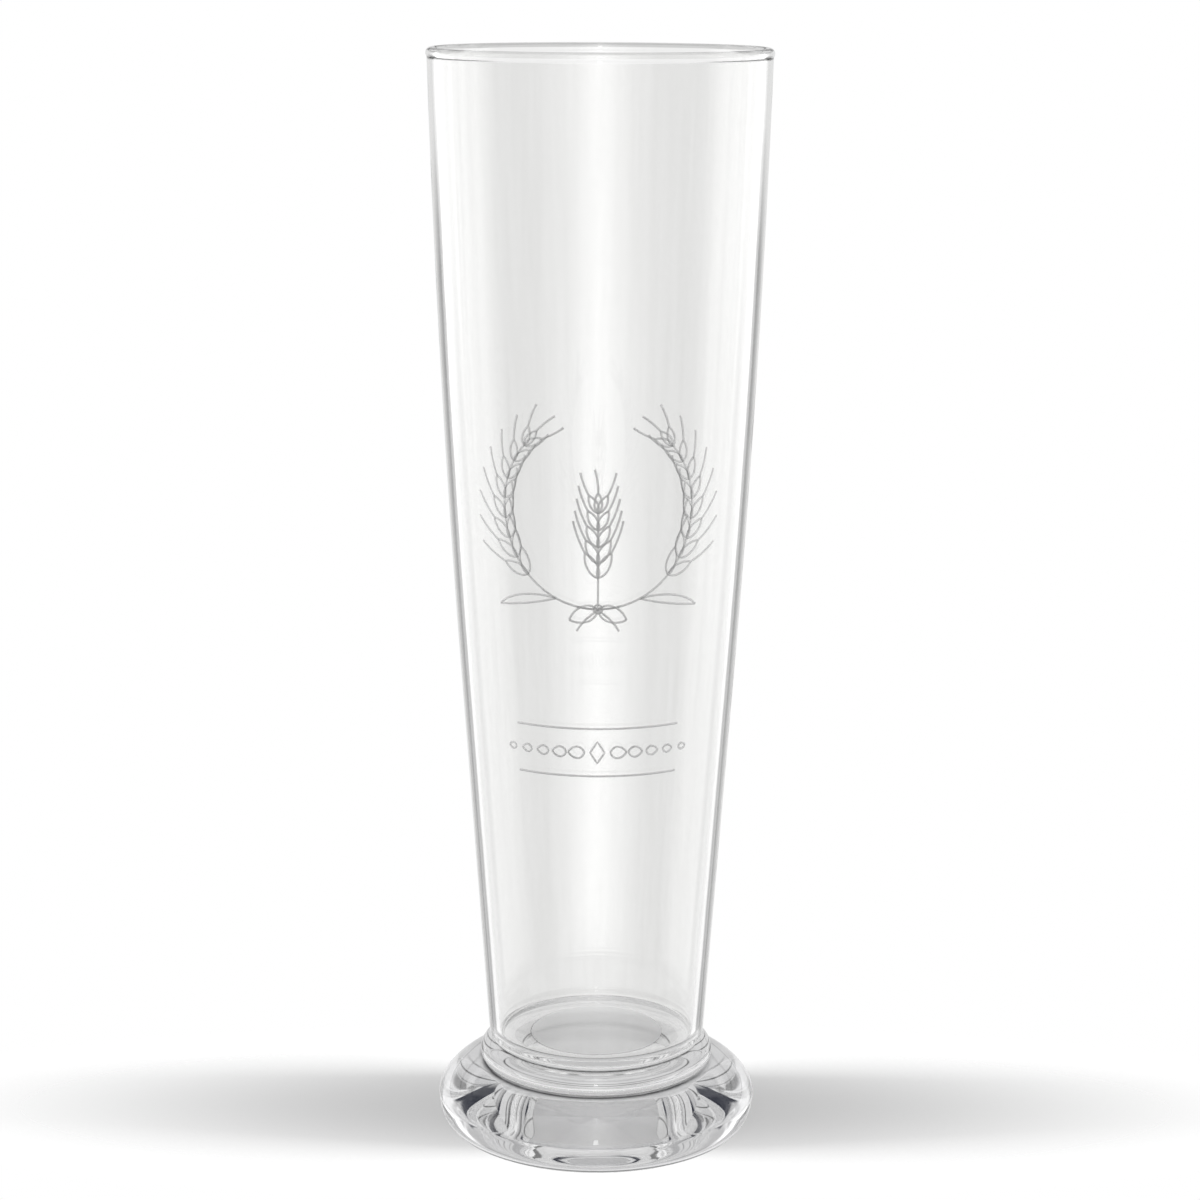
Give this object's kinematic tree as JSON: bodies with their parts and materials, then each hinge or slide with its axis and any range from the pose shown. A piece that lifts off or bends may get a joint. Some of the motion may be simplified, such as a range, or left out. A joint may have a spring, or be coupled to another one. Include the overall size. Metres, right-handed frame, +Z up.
{
  "type": "wheat beer glass",
  "caption": "Tall slender clear beer glass that widens evenly to a rounded rim, on a thick base with a beaded collar and a heavy round foot; holds half a litre of wheat beer with its foam.",
  "frame": {"origin": "centre of the foot on the table plane", "axes": "+Z up the axis of the glass from the foot to the rim, -Y towards the viewer of the front view, +X to that viewer's right"},
  "size_m": [0.0766, 0.0766, 0.25],
  "materials": {
    "bowl_glass": "clear blown glass with fine drawing streaks",
    "collar_glass": "clear pressed glass, fire polished",
    "foot_glass": "clear pressed glass, slightly wavy"
  },
  "bodies": {
    "root": {"bowl": "bowl_glass", "collar": "collar_glass", "foot": "foot_glass"}
  },
  "joints": []
}
